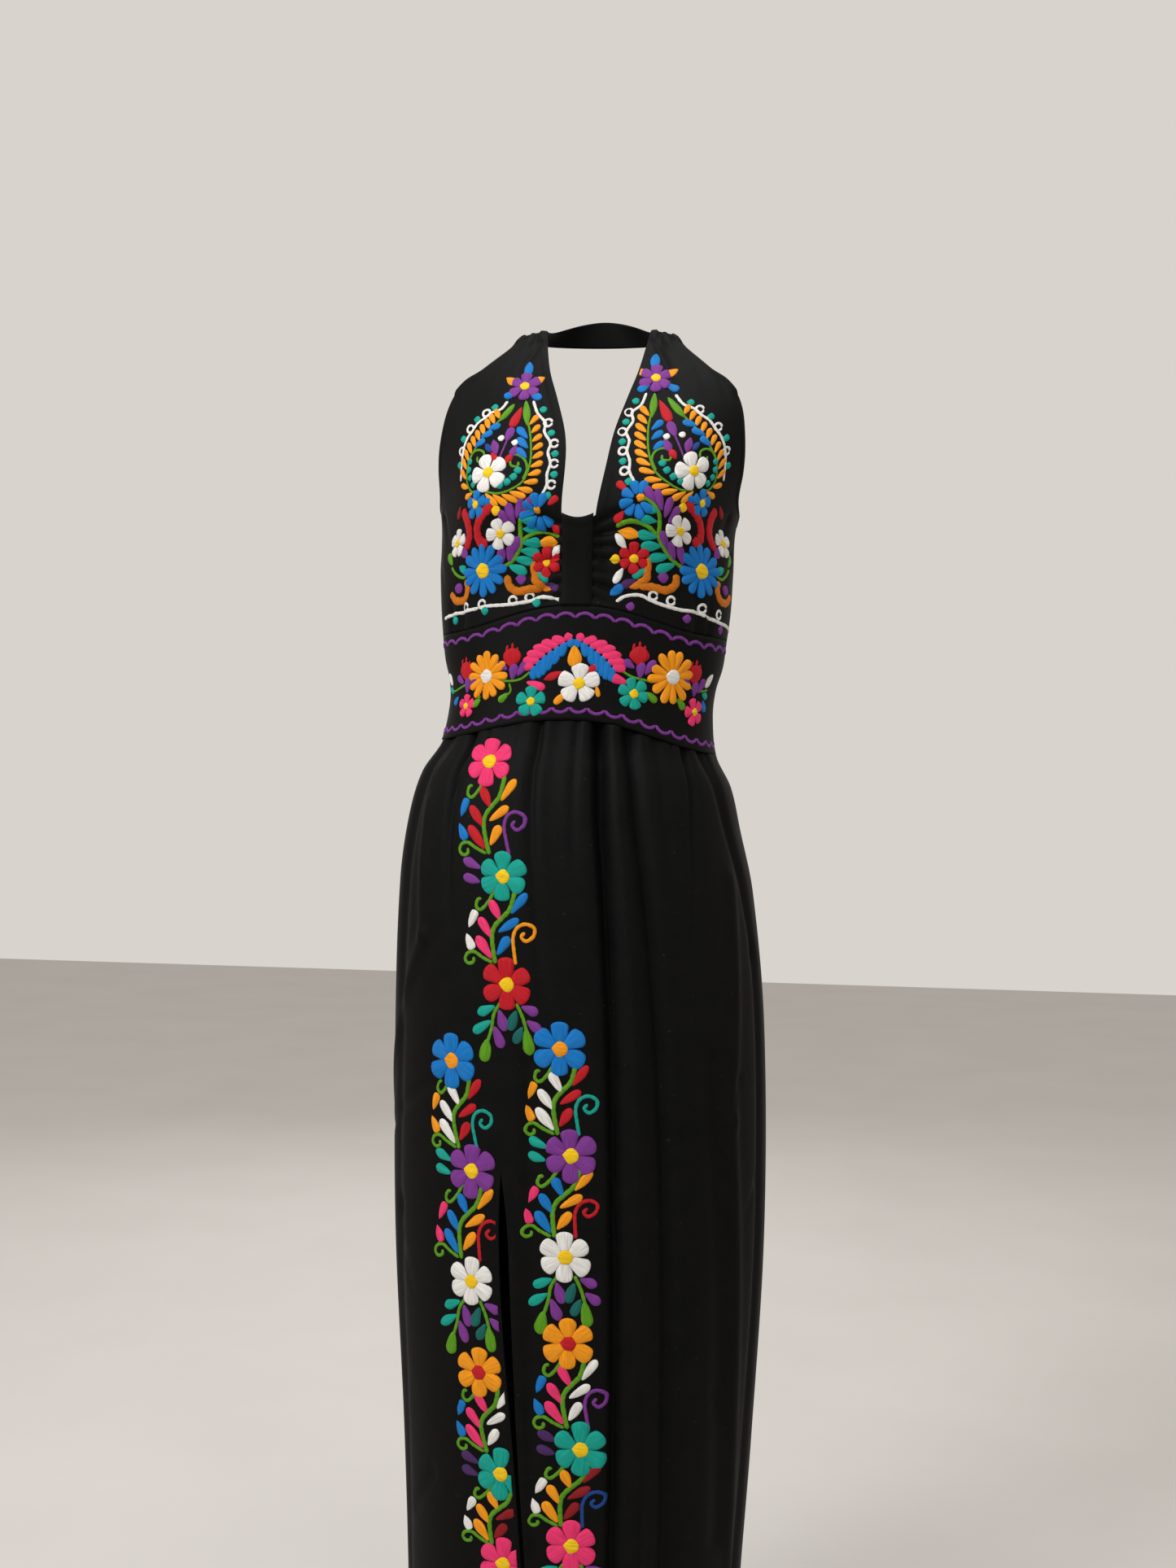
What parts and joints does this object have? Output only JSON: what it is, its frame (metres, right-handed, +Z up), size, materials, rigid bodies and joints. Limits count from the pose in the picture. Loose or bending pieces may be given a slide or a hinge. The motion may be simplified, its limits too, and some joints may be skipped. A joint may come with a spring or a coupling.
{
  "type": "halter dress",
  "caption": "Long halter-neck dress with a deep V front, a shaped waistband and a gathered, slit skirt, embroidered with flowers; hollow, as worn.",
  "frame": {"origin": "middle of the neck band's inner face at the nape, where the wearer's neck holds the dress", "axes": "+Z up along the wearer, +X towards the wearer's left, the front faces -Y"},
  "size_m": [0.3791, 0.2871, 1.4238],
  "materials": {
    "black_cloth": "matt black woven cloth with a soft sheen",
    "embroidery_thread": "bright satin-stitch thread in many colours"
  },
  "bodies": {
    "root": {"halter_panel_right": "black_cloth", "halter_panel_left": "black_cloth", "centre_tab": "black_cloth", "neck_band": "black_cloth", "back_bodice": "black_cloth", "midriff_band_front": "black_cloth", "midriff_band_back": "black_cloth", "skirt_front": "black_cloth", "skirt_back": "black_cloth"}
  },
  "joints": []
}
